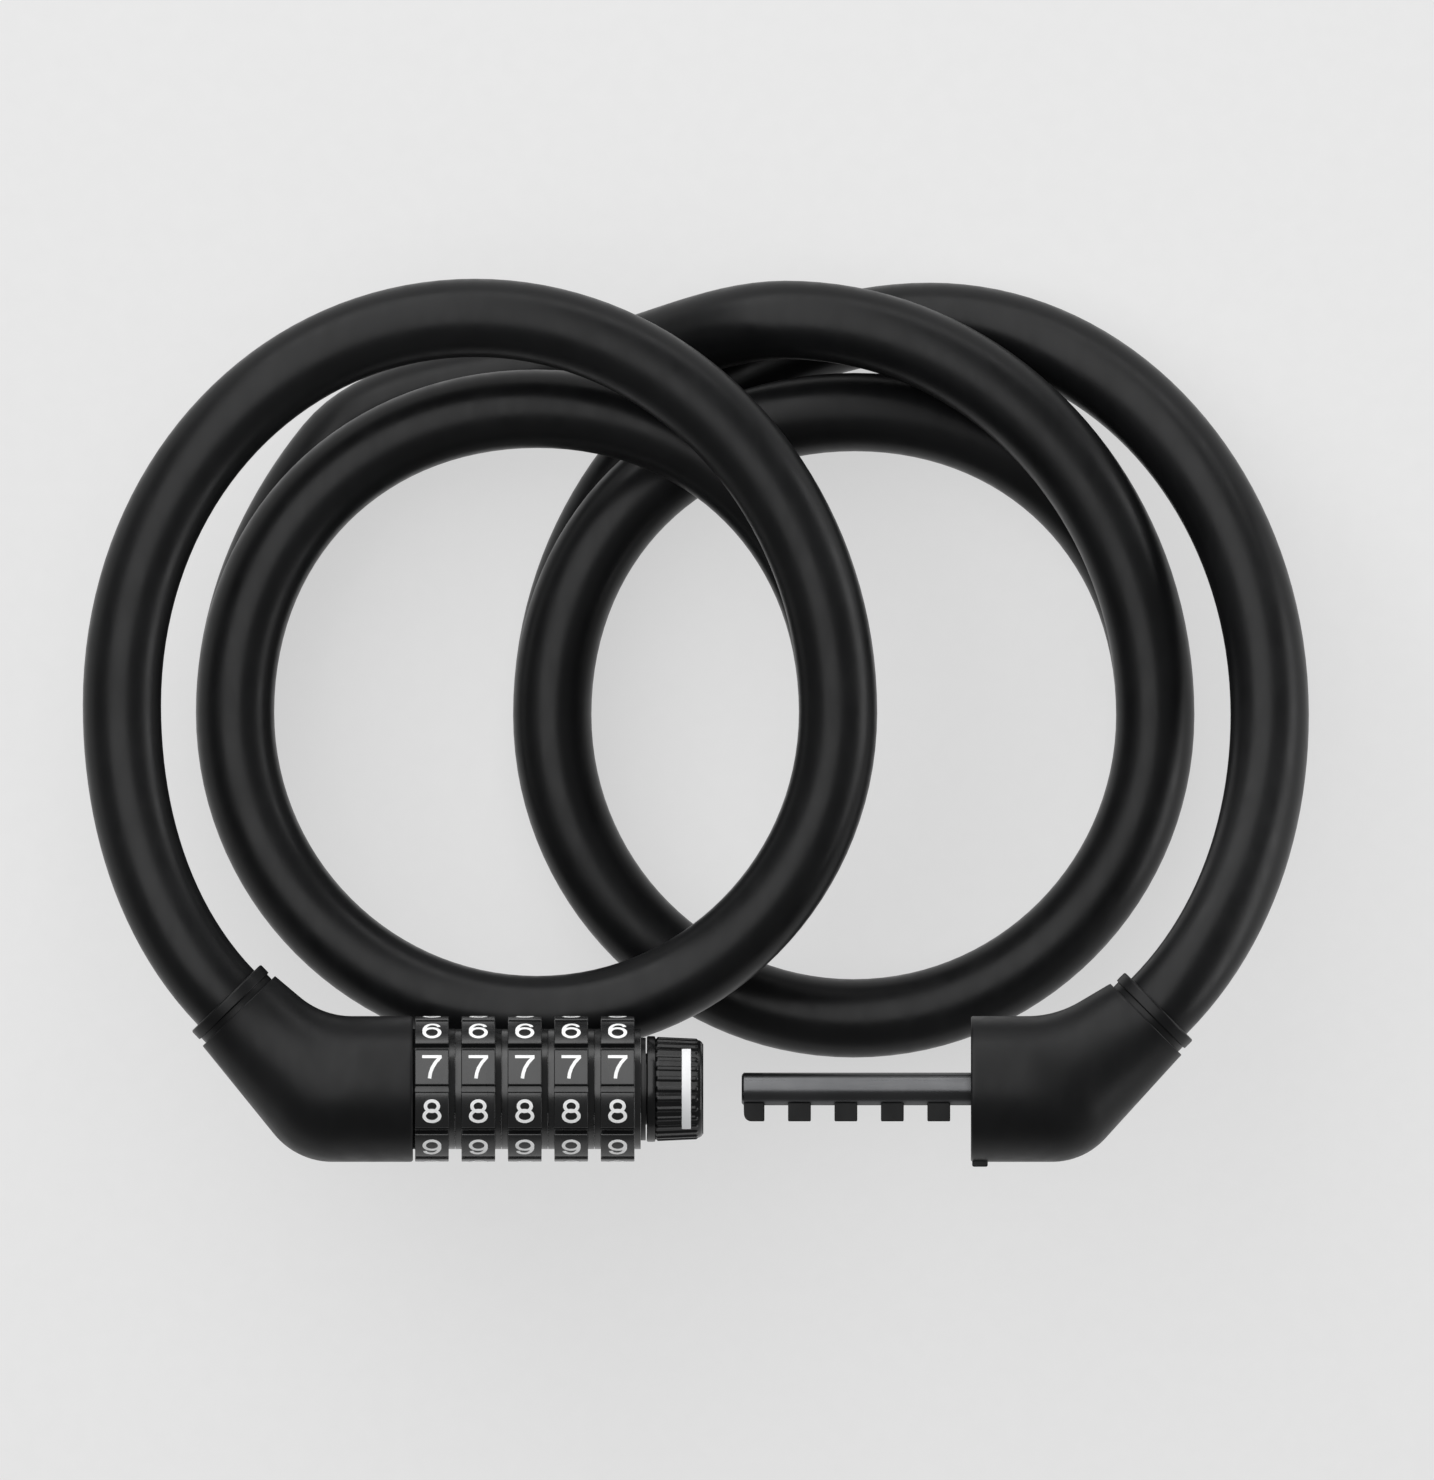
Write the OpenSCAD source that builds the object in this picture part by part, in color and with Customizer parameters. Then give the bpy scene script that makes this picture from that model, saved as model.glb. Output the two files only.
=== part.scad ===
// Combination cable lock, lying coiled with its toothed bolt drawn out of the dial barrel.
// +X runs from the dial barrel to the bolt, +Z is up, and the origin is on the floor
// under the middle. The dial barrel and the bolt share one axis, along X.

/* [Cable] */
// Diameter over the vinyl cover
cable_d = 12; // [10:0.5:12]
// Diameter of the braided steel core
core_d = 5; // [4:0.5:6]
// Sides of the cable's tube
cable_sides = 12; // [8:2:12]
// Longest stretch between two rings of the tube
ring_gap = 17.5; // [16:0.5:30]

/* [Lock axis] */
// Height of the barrel's axis above the floor
axis_z = 55; // [55:1:60]
// Place of the barrel's axis across the part
axis_y = -56; // [-60:1:-56]

/* [Dials] */
// Number of dials
dials = 5; // [5:1:5]
// Distance between neighbouring dials
dial_pitch = 7.1; // [7.1:0.1:7.2]
// Outer radius of a dial's faces
dial_r = 11.1; // [10.8:0.1:11.2]
// Radius of the shoulder on each side of the faces
shoulder_r = 9.2; // [8.8:0.1:9.2]
// Width of a dial's faces along the axis
face_w = 5.15; // [4.5:0.05:5.5]
// Faces around a dial
faces = 10; // [10:1:10]
// Width of the groove between two faces
face_groove_w = 1.15; // [0.8:0.05:1.4]
// Depth of the groove between two faces
face_groove_depth = 1.1; // [0.5:0.1:1.5]

/* [Housings] */
// Outer radius of both housings around the barrel's axis
housing_r = 11.15; // [11:0.05:11.5]
// Outer radius of both housings where the cable enters
neck_r = 7.7; // [7.6:0.1:8]
// Radius of the socket that swallows the knob
socket_r = 9.4; // [9.3:0.1:9.6]
// Depth of that socket
socket_depth = 10.6; // [10.4:0.1:11]

/* [Bolt] */
// Diameter of the bolt's rod
bolt_d = 5; // [4.5:0.1:5]
// Reach of the bolt's teeth from the axis
tooth_reach = 4.95; // [4.5:0.05:5]
// Length of a tooth along the axis
tooth_w = 3.5; // [3:0.1:3.5]
// Thickness of a tooth
tooth_t = 2.4; // [1.8:0.1:2.5]
// Travel of the bolt from drawn out to locked
bolt_travel = 51; // [51:1:51]

/* [Knob] */
// Radius of the knob's flange
knob_flange_r = 8.1; // [7.9:0.1:8.3]
// Radius of the knob's grip next to the flange
knob_r = 8; // [7.8:0.1:8]
// Radius of the knob's grip at its outer end
knob_end_r = 7.7; // [7.5:0.1:7.8]
// Ribs around the knob
knob_ribs = 30; // [20:1:36]

/* [Hidden] */

$fn = 96;
eps = 0.01;
gap = 0.05;            // running clearance of the turning and sliding pieces
pin_gap = 0.02;        // clearance of the drive pins in their holes

// Along the barrel
dial_x = -40.3;        // middle of the first dial
dial_w = dial_pitch - 0.05;
lock_face_x = -43.2;   // open end of the lock housing
tube_start_x = -52;    // blind end of the core tube, inside the lock housing
tube_bore_x = -45;     // bottom of the core tube's bore
tube_end_x = 0.3;
tube_r = 3.9;
slot_w = tooth_t + 0.5;
slot_reach = tooth_reach + 0.2;
pin_r = 1;

// Cable entries: how far the elbow runs past its corner, and its heading in the plan
lock_corner_x = -58.3;
lock_heading = 134;
lock_run = 16.6;
bolt_corner_x = 58.2;
bolt_heading = 45;
bolt_run = 15.1;
collar_t = 1.8;        // thickness of a collar's flange
collar_groove = 1;     // width of the groove behind the flange
collar_sleeve = 4;     // length of the collar's sleeve inside the housing
cable_depth = 6;       // depth to which the cable enters a housing
ferrule_len = 5;
ferrule_r = 4.4;

// Along the bolt
bolt_tip_x = 7.05;
bolt_face_x = 42.1;    // open end of the bolt housing
bolt_end_x = 57.6;
bolt_pin_x = 55.2;
tube_pin_x = -48.5;

// Knob and the bush that it turns on
bush_start_x = -8.3;
bush_flange_r = 7.85;
bush_flange_t = 0.7;
bush_r = 5.45;
bush_end_x = 0.7;
knob_start_x = -7.3;
knob_flange_t = 1.25;
knob_end_x = 1.2;
clip_x = 0.05;
clip_t = 0.4;
clip_r = 6.4;
mark_x = -2.1;         // pale index mark let into the knob
mark_w = 1.4;
mark_angle = 104;

// Tumblers, placed from the middle of their dial
tumbler_from = -2.7;
tumbler_to = 1.5;
tumbler_flange_t = 1.5;
tumbler_r = 6.3;
tumbler_bore_r = 5.15;
tumbler_shift = 1.8;   // how far the knob draws the tumblers out of their splines
lug_len = 1.6;
lug_r = 7.3;
lug_w = 1.6;
spline_r = 7.45;
spline_w = 1.9;

// ---- Route of the cable -------------------------------------------------------------
function heading(a) = [cos(a), sin(a)];
function entry(corner_x, run, a) = [corner_x, axis_y] + run * heading(a);
lock_neck = entry(lock_corner_x, lock_run, lock_heading);
bolt_neck = entry(bolt_corner_x, bolt_run, bolt_heading);
collar_reach = collar_t + collar_groove;
lock_in = lock_neck - cable_depth * heading(lock_heading);
lock_out = lock_neck + collar_reach * heading(lock_heading);
bolt_in = bolt_neck - cable_depth * heading(bolt_heading);
bolt_out = bolt_neck + collar_reach * heading(bolt_heading);

// Stations of the route: x, y, heading, height, fullness of the arc that follows.
// The left-hand coil is wound first, from the lock housing down, then the right-hand one.
route = [
    [lock_in.x, lock_in.y, 134, axis_z, 1],
    [lock_out.x, lock_out.y, 134, axis_z, 1],
    [-87.7, 2.7, 90, 48, 1.02],
    [-33.7, 61.9, 0, 45.5, 1],
    [21.8, 1.6, -90, 46, 1],
    [-24.2, -44.7, -180, 41.5, 1],
    [-70.4, 1.6, -270, 36, 1.05],
    [-24.2, 48, -360, 34, 1.05],
    [21.8, 1.6, -450, 33.5, 1],
    [-24.2, -44.7, -540, 27.5, 1],
    [-70.4, 1.6, -630, 7.5, 1],
    [-55.4, 41.7, -669, 7.5, 1],
    [-9.2, 56.1, -702, 12.5, 1],
    [13.7, 61.6, -720, 21, 1],
    [70.3, 1.2, -810, 23, 1],
    [24.2, -45.2, -900, 18.5, 1],
    [-21.9, 1.2, -990, 19.5, 1.05],
    [24.4, 47.5, -1080, 15, 1.05],
    [70.3, 1.2, -1170, 7, 1],
    [24.2, -45.2, -1260, 6, 1],
    [-21.9, 1.2, -1350, 6.5, 1],
    [35.9, 61.3, -1440, 7.5, 1],
    [87.8, 1.2, -1530, 35, 1],
    [bolt_out.x, bolt_out.y, -1575, axis_z, 1],
    [bolt_in.x, bolt_in.y, -1575, axis_z, 1]];
tail_station = 21;     // the last station of the cable's coiled stretch

// A cubic arc from station a to station b, at t from 0 to 1
function handle_share(turn) = turn < 1 ? 1 / 3 : 4 / 3 * tan(turn / 4) / sin(turn);
function plan(a, b, t) =
    let (p = [a.x, a.y], q = [b.x, b.y], from = heading(a[2]), to = heading(b[2]),
         share = handle_share(abs(b[2] - a[2])) * a[4],
         u = p + share * ((q - p) * from) * from,
         v = q - share * ((q - p) * to) * to,
         s = 1 - t)
    s ^ 3 * p + 3 * s ^ 2 * t * u + 3 * s * t ^ 2 * v + t ^ 3 * q;
// The route is level where it leaves the housings
function slope_at(i) = i < 2 || i > len(route) - 3 ? 0 : (route[i + 1][3] - route[i - 1][3]) / 2;
function height(i, t) =
    (2 * t ^ 3 - 3 * t ^ 2 + 1) * route[i][3] + (t ^ 3 - 2 * t ^ 2 + t) * slope_at(i)
    + (3 * t ^ 2 - 2 * t ^ 3) * route[i + 1][3] + (t ^ 3 - t ^ 2) * slope_at(i + 1);
function on_route(i, t) =
    let (p = plan(route[i], route[i + 1], t))
    [p.x, p.y, max(height(i, t), cable_d / 2)];
function rings_in(i) = ceil(norm([for (k = [0:1]) route[i + 1][k] - route[i][k]]) / ring_gap);
line = concat(
    [for (i = [0:len(route) - 2]) let (n = rings_in(i)) for (j = [0:n - 1]) on_route(i, j / n)],
    [on_route(len(route) - 2, 1)]);
// The ring at the station where the coiled stretch ends and the free tail starts
tail_ring = sum([for (i = [0:tail_station - 1]) rings_in(i)]);
function sum(list) = list * [for (i = list) 1];

// ---- Skins ----------------------------------------------------------------------------
function unit(v) = v / norm(v);
// Joins closed rings of points, all of one length, and caps both ends
module skin(rings) {
    sides = len(rings[0]);
    last = (len(rings) - 1) * sides;
    sleeve = [for (i = [0:len(rings) - 2], j = [0:sides - 1])
        let (a = i * sides + j, b = i * sides + (j + 1) % sides)
        each [[a, b + sides, a + sides], [a, b, b + sides]]];
    start = [for (j = [sides - 1:-1:0]) j];
    end = [for (j = [0:sides - 1]) last + j];
    polyhedron(points = [for (r = rings) each r], faces = concat([start], sleeve, [end]));
}
// Ring number i of the cable's line, square to the line
function cable_ring(i) =
    let (ahead = unit(line[min(i + 1, len(line) - 1)] - line[max(i - 1, 0)]),
         across = unit(cross(ahead, [0, 0, 1])),
         up = cross(across, ahead))
    [for (j = [0:cable_sides - 1]) let (a = j * 360 / cable_sides)
        line[i] + cable_d / 2 * (cos(a) * across + sin(a) * up)];

// ---- Placing ------------------------------------------------------------------------
// Children are drawn along +Z, and placed along the barrel's axis from x
module on_axis(x = 0) translate([x, axis_y, axis_z]) rotate([0, 90, 0]) children();
// Children are drawn along +Z, out of the neck where the cable enters a housing
module on_neck(neck, a) translate([neck.x, neck.y, axis_z]) rotate([0, 0, a]) rotate([0, 90, 0]) children();
module tube(r_out, r_in, from, to) {
    translate([0, 0, from]) difference() {
        cylinder(r = r_out, h = to - from);
        translate([0, 0, -1]) cylinder(r = r_in, h = to - from + 2);
    }
}
module rod(r, from, to) translate([0, 0, from]) cylinder(r = r, h = to - from);
// A slot from the axis out to reach, on the side where the code is read
module key_slot(reach, from, to) translate([-slot_w / 2, -reach, from]) cube([slot_w, reach, to - from]);

// ---- Housings -----------------------------------------------------------------------
elbow_rings = 14;
elbow_sides = 48;
seam = 0.03;           // step from the barrel down to the elbow, which keeps their skins apart
lock_elbow_x = -51.5;  // where the lock housing's straight barrel ends
bolt_elbow_x = 50.2;
// Edges of the elbows in the plan: x of the corner, and the radius of the arc across it
lock_inner = [-57, 12.4];
lock_outer = [-61, 11.5];
bolt_inner = [55, 15.7];
bolt_outer = [59.4, 11];
function ease(t) = t * t * (3 - 2 * t);
// A point of the edge that runs from s past the corner c to n with an arc of radius r, t from 0 to 1
function edge_point(s, c, n, r, t) =
    let (u = unit(c - s), v = unit(n - c), turn = acos(u * v), w = unit(v - (v * u) * u),
         cut = r * tan(turn / 2), first = norm(c - s) - cut, arc = r * turn * PI / 180,
         whole = first + arc + norm(n - c) - cut, along = t * whole, b = (along - first) / arc * turn)
    along <= first ? s + along * u
        : along <= first + arc ? s + first * u + r * (sin(b) * u + (1 - cos(b)) * w)
        : n - (whole - along) * v;
// Rings of an elbow between its two edges, where side is -1 for the lock and 1 for the bolt
function elbow_ring(start_x, neck, a, side, inner, outer, t) =
    let (r = housing_r - seam, out = neck_r * heading(a + side * 90),
         p = edge_point([start_x, axis_y + r], [inner[0], axis_y + r], neck + out, inner[1], t),
         q = edge_point([start_x, axis_y - r], [outer[0], axis_y - r], neck - out, outer[1], t),
         mid = (p + q) / 2, half = side * (q - p) / 2, high = r + (neck_r - r) * ease(t))
    [for (j = [0:elbow_sides - 1]) let (b = j * 360 / elbow_sides)
        [mid.x + cos(b) * half.x, mid.y + cos(b) * half.y, axis_z + sin(b) * high]];
// The smaller first ring stands inside the barrel's end
module elbow(start_x, neck, a, side, inner, outer) {
    rings = [for (i = [0:elbow_rings])
        elbow_ring(start_x, neck, a, side, inner, outer, i / elbow_rings)];
    middle = [start_x - side, axis_y, axis_z];
    root = [for (p = rings[0]) middle + (1 - 1 / housing_r) * (p - [start_x, axis_y, axis_z])];
    skin(concat([root], rings));
}
// The hollows that hold the collar's sleeve, the cable's end and its ferrule
module cable_entry(neck, a) on_neck(neck, a) {
    rod(cable_d / 2 + 0.95, -collar_sleeve, 1);
    rod(cable_d / 2 + 0.1, -cable_depth, 1);
    rod(ferrule_r + gap, -cable_depth - ferrule_len - 0.4, 0);
    translate([0, 0, -cable_depth - ferrule_len / 2]) rotate([0, 90, 0]) rod(pin_r + pin_gap, 0, neck_r + 2);
}
module cross_hole(x, top) translate([x, axis_y, axis_z - housing_r - 1])
    cylinder(r = pin_r + pin_gap, h = housing_r + 1 + top);

module lock_housing() color("#1c1d1f") difference() {
    union() {
        on_axis() rod(housing_r, lock_elbow_x, lock_face_x);
        elbow(lock_elbow_x, lock_neck, lock_heading, -1, lock_inner, lock_outer);
    }
    on_axis() {
        rod(socket_r, dial_x - dial_w / 2 - 0.12, lock_face_x + 1);
        rod(tube_r + gap, tube_start_x - 0.1, lock_face_x);
    }
    cross_hole(tube_pin_x, tube_r + 1);
    cable_entry(lock_neck, lock_heading);
}

module bolt_housing() color("#1c1d1f") difference() {
    union() {
        on_axis() rod(housing_r, bolt_face_x, bolt_elbow_x);
        elbow(bolt_elbow_x, bolt_neck, bolt_heading, 1, bolt_inner, bolt_outer);
        // Index lug that lines up with the code
        translate([bolt_face_x + 0.2, axis_y - housing_r - 0.75, axis_z - 1.5]) cube([2.4, 3, 3]);
    }
    on_axis() {
        rod(socket_r, bolt_face_x - 1, bolt_face_x + socket_depth);
        rod(bolt_d / 2 + gap, bolt_face_x, bolt_end_x + 0.1);
    }
    cross_hole(bolt_pin_x, bolt_d / 2 + 1);
    cable_entry(bolt_neck, bolt_heading);
}

module cable_collar(neck, a) color("#232426") on_neck(neck, a) {
    difference() {
        union() {
            rod(neck_r - 0.35, collar_groove, collar_reach);
            rod(neck_r - 0.7, 0, collar_groove + eps);
            rod(cable_d / 2 + 0.9, -collar_sleeve + 0.1, eps);
        }
        rod(cable_d / 2 + 0.1, -collar_sleeve - 1, collar_reach + 1);
    }
}
module lock_cable_collar() cable_collar(lock_neck, lock_heading);
module bolt_cable_collar() cable_collar(bolt_neck, bolt_heading);

module ferrule(neck, a) color("#b08d57") on_neck(neck, a) difference() {
    tube(ferrule_r, core_d / 2 + gap, -cable_depth - ferrule_len, -cable_depth - gap);
    translate([0, 0, -cable_depth - ferrule_len / 2]) rotate([0, 90, 0]) rod(pin_r + pin_gap, 0, 9);
}
module lock_ferrule() ferrule(lock_neck, lock_heading);
module bolt_ferrule() ferrule(bolt_neck, bolt_heading);

// Drive pin from underneath, through the housing's wall into the ferrule's wall
module ferrule_pin(neck, a) color("silver") on_neck(neck, a)
    translate([0, 0, -cable_depth - ferrule_len / 2]) rotate([0, 90, 0]) rod(pin_r, core_d / 2 + 0.2, neck_r);
module lock_ferrule_pin() ferrule_pin(lock_neck, lock_heading);
module bolt_ferrule_pin() ferrule_pin(bolt_neck, bolt_heading);

module core_end(neck, a) color("silver") on_neck(neck, a)
    rod(core_d / 2, -cable_depth - ferrule_len - 0.3, -cable_depth - gap);
module lock_core_end() core_end(lock_neck, lock_heading);
module bolt_core_end() core_end(bolt_neck, bolt_heading);

// ---- Barrel -------------------------------------------------------------------------
module core_tube() color("#8f9296") on_axis() difference() {
    rod(tube_r, tube_start_x, tube_end_x);
    rod(bolt_d / 2 + 0.1, tube_bore_x, tube_end_x + 1);
    key_slot(slot_reach, tube_bore_x, tube_end_x + 1);
    // Flat seat of the click spring, opposite the slot
    translate([-tube_r, 3.05, dial_x - 3.3]) cube([2 * tube_r, tube_r, dials * dial_pitch - 0.4]);
    translate([0, 0, tube_pin_x]) rotate([0, 90, 0]) translate([0, 0, -tube_r - 1])
        cylinder(r = pin_r + pin_gap, h = 2 * tube_r + 2);
}
module core_tube_pin() color("silver") translate([tube_pin_x, axis_y, axis_z - housing_r + 0.4])
    cylinder(r = pin_r, h = housing_r - 0.4 + tube_r);

spring_t = 0.3;
spring_y = 3.1;
module click_spring() color("gainsboro") on_axis() {
    translate([-1, spring_y, dial_x - 3]) cube([2, spring_t, (dials - 1) * dial_pitch + 6]);
    for (k = [0:dials - 1])
        translate([-1, spring_y + spring_t - 0.1, dial_x + k * dial_pitch + 0.75])
            rotate([0, 90, 0]) intersection() {
                cylinder(r = 0.45, h = 2);
                translate([-1, 0, 0]) cube([2, 1, 2]);
            }
}

module dial(k) color("#17181a") on_axis(dial_x + (k - 1) * dial_pitch) difference() {
    union() {
        rod(shoulder_r, -dial_w / 2, dial_w / 2);
        rod(dial_r, -face_w / 2, face_w / 2);
    }
    // Grooves between the faces: one faces up, and a face's middle meets the reading line
    for (i = [0:faces - 1]) rotate(i * 360 / faces)
        translate([dial_r - face_groove_depth, -face_groove_w / 2, -face_w / 2 - 1])
            cube([dial_r, face_groove_w, face_w + 2]);
    rod(tumbler_r + 0.1, -dial_w, dial_w);
    // Splines that turn the tumbler, and the relief that lets go of it
    rod(spline_r, -0.95, 1);
    for (i = [0:faces - 1]) rotate(i * 360 / faces)
        translate([0, -spline_w / 2, -dial_w]) cube([spline_r, spline_w, dial_w - 0.95]);
}
module dial_1() dial(1);
module dial_2() dial(2);
module dial_3() dial(3);
module dial_4() dial(4);
module dial_5() dial(5);

module tumbler(k) color("#b8a15a") on_axis(dial_x + (k - 1) * dial_pitch) difference() {
    union() {
        rod(tumbler_r, tumbler_from, tumbler_to);
        translate([-lug_r, -lug_w / 2, tumbler_from]) cube([2 * lug_r, lug_w, lug_len]);
    }
    rod(tumbler_bore_r, tumbler_from - 1, tumbler_to - tumbler_flange_t);
    rod(tube_r + gap, tumbler_from, tumbler_to + 1);
    key_slot(slot_reach, tumbler_from, tumbler_to + 1);
}
module tumbler_1() tumbler(1);
module tumbler_2() tumbler(2);
module tumbler_3() tumbler(3);
module tumbler_4() tumbler(4);
module tumbler_5() tumbler(5);

// ---- Knob ---------------------------------------------------------------------------
module end_bush() color("#2a2b2d") on_axis() difference() {
    union() {
        rod(bush_flange_r, bush_start_x, bush_start_x + bush_flange_t);
        rod(bush_r, bush_start_x, bush_end_x);
    }
    rod(tube_r + gap, bush_start_x - 1, bush_end_x + 1);
    key_slot(slot_reach, bush_start_x - 1, bush_end_x + 1);
    tube(bush_r + 1, bush_r - 0.55, clip_x - gap, clip_x + clip_t + gap);
}

module knob_clip() color("silver") on_axis() difference() {
    tube(clip_r, bush_r - 0.5, clip_x, clip_x + clip_t);
    translate([-1.8, -clip_r - 1, clip_x - 1]) cube([3.6, clip_r, clip_t + 2]);
}

module reset_knob() color("#18191b") on_axis() difference() {
    union() {
        rod(knob_flange_r, knob_start_x, knob_start_x + knob_flange_t);
        translate([0, 0, knob_start_x + knob_flange_t])
            cylinder(r1 = knob_r, r2 = knob_end_r, h = knob_end_x - knob_start_x - knob_flange_t);
    }
    rod(bush_r + gap, knob_start_x - 1, knob_end_x + 1);
    rod(clip_r + 0.3, clip_x - 0.1, knob_end_x + 1);
    for (i = [0:knob_ribs - 1]) rotate((i + 0.5) * 360 / knob_ribs)
        translate([knob_r + 0.05, 0, knob_start_x + knob_flange_t + 0.3]) cylinder(r = 0.4, h = 10, $fn = 24);
    knob_mark_band(gap);
}
// Band round the side of the knob that faces up
module knob_mark_band(grow) rotate(180 - mark_angle / 2) translate([0, 0, mark_x - grow])
    rotate_extrude(angle = mark_angle) translate([knob_r - 0.75, 0]) square([1.2, mark_w + 2 * grow]);
module knob_index_mark() color("#e4e5e6") on_axis() intersection() {
    knob_mark_band(0);
    cylinder(r = knob_r - 0.1, h = 40, center = true);
}

// ---- Bolt ---------------------------------------------------------------------------
module toothed_bolt() color("#26272a") on_axis() difference() {
    union() {
        rod(bolt_d / 2, bolt_tip_x + 0.4, bolt_end_x);
        translate([0, 0, bolt_tip_x]) cylinder(r1 = bolt_d / 2 - 0.4, r2 = bolt_d / 2, h = 0.4);
        for (k = [0:dials - 1]) translate([-tooth_t / 2, -tooth_reach, bolt_tip_x + k * dial_pitch])
            cube([tooth_t, tooth_reach, tooth_w]);
    }
    // Rounded lower corner of the leading tooth
    difference() {
        translate([-tooth_t, -tooth_reach - 1, bolt_tip_x - 1]) cube([2 * tooth_t, 2.1, 2.1]);
        translate([-tooth_t - 1, -tooth_reach + 1.1, bolt_tip_x + 1.1]) rotate([0, 90, 0])
            cylinder(r = 1.1, h = 2 * tooth_t + 2);
    }
    translate([0, 0, bolt_pin_x]) rotate([0, 90, 0]) translate([0, 0, -bolt_d])
        cylinder(r = pin_r + pin_gap, h = 2 * bolt_d);
}
module bolt_pin() color("silver") translate([bolt_pin_x, axis_y, axis_z - housing_r + 0.8])
    cylinder(r = pin_r, h = housing_r - 0.8 + bolt_d / 2);

// ---- Cable --------------------------------------------------------------------------
module cable_run(first, last) color("#202123")
    skin([for (i = [first:last]) cable_ring(i)]);
module cable() cable_run(0, tail_ring);
module cable_tail() cable_run(tail_ring, len(line) - 1);

lock_housing();
lock_cable_collar();
lock_ferrule();
lock_ferrule_pin();
lock_core_end();
core_tube();
core_tube_pin();
click_spring();
end_bush();
knob_clip();
reset_knob();
knob_index_mark();
dial_1();
dial_2();
dial_3();
dial_4();
dial_5();
tumbler_1();
tumbler_2();
tumbler_3();
tumbler_4();
tumbler_5();
toothed_bolt();
bolt_pin();
bolt_housing();
bolt_cable_collar();
bolt_ferrule();
bolt_ferrule_pin();
bolt_core_end();
cable();
cable_tail();
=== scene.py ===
"""A coiled cable lock with a five-dial barrel and a toothed bolt.

Everything is in metres in the CAD model's frame: +X from the dial barrel to the bolt, +Z up,
and the origin on the floor under the middle. The barrel and the bolt share one axis along X.
"""
from math import ceil, cos, hypot, pi, radians, sin, tan

import bpy
from mathutils import Matrix, Vector


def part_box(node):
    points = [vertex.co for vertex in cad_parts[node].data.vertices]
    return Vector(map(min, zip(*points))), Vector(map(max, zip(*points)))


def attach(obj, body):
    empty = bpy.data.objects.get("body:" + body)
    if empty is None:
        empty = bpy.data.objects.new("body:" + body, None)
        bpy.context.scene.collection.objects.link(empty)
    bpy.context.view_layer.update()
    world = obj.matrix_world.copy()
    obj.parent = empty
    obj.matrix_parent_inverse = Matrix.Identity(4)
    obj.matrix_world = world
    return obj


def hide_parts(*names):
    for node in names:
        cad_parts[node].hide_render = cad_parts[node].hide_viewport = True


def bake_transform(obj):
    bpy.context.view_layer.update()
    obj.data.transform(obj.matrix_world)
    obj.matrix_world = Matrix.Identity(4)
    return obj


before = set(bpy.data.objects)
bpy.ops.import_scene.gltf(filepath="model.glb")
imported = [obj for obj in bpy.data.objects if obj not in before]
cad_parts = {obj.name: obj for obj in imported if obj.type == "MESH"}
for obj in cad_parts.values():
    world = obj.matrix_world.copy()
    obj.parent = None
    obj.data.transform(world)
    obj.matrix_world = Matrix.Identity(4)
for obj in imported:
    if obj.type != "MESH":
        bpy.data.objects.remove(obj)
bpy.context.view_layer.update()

MM = 0.001
scene = bpy.context.scene


# ---- Sizes and places, in metres -------------------------------------------------------
tube_low, tube_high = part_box("core_tube")
AXIS_Y = (tube_low.y + tube_high.y) / 2
AXIS_Z = (tube_low.z + tube_high.z) / 2
DIALS = range(1, 6)
FACES = 10
FACE_TURN = 2 * pi / FACES
DIAL_R = 11.1 * MM
SHOULDER_R = 9.2 * MM     # of a dial, beside its faces
FACE_W = 5.15 * MM        # along the barrel
GROOVE_W = 1.15 * MM      # between two faces of a dial
GROOVE_DEPTH = 1.1 * MM
DIAL_BORE_R = 6.4 * MM
HOUSING_R = 11.15 * MM
NECK_R = 7.7 * MM
CABLE_D = 12 * MM
CABLE_DEPTH = 6 * MM      # how far the cable goes into a housing
COLLAR_REACH = 2.8 * MM   # how far a collar stands out of its housing
SIDES = 96                # of a round ring

# Where the cable enters each housing: corner of the neck's axis, run past it, heading in the plan.
# The elbow starts at an x, and its edges in the plan each have a corner's x and an arc across it.
LOCK_NECK = dict(
    corner=-58.3 * MM, run=16.6 * MM, heading=134, side=-1, start=-51.5 * MM,
    inner=(-57 * MM, 12.4 * MM), outer=(-61 * MM, 11.5 * MM),
)
BOLT_NECK = dict(
    corner=58.2 * MM, run=15.1 * MM, heading=45, side=1, start=50.2 * MM,
    inner=(55 * MM, 15.7 * MM), outer=(59.4 * MM, 11 * MM),
)


def heading(angle):
    """A level direction, in degrees from +X towards +Y."""
    return Vector((cos(radians(angle)), sin(radians(angle)), 0))


def neck_point(neck, out):
    """A point on the neck's own axis, that far out of the housing."""
    corner = Vector((neck["corner"], AXIS_Y, AXIS_Z))
    return corner + (neck["run"] + out) * heading(neck["heading"])


# ---- Camera: straight down, flat on to the coils ---------------------------------------
MM_PER_PIXEL = 0.1529     # of the 1434 by 1480 frame
FRAME_PIXELS = 1480
CAMERA_PLACE = (3.29 * MM, -2.64 * MM, 0.9)
camera = bpy.data.objects.new("camera", bpy.data.cameras.new("camera"))
camera.data.type = "ORTHO"
camera.data.ortho_scale = FRAME_PIXELS * MM_PER_PIXEL * MM
camera.data.clip_start = 0.01
camera.data.clip_end = 10
camera.location = CAMERA_PLACE
scene.collection.objects.link(camera)
scene.camera = camera


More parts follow.
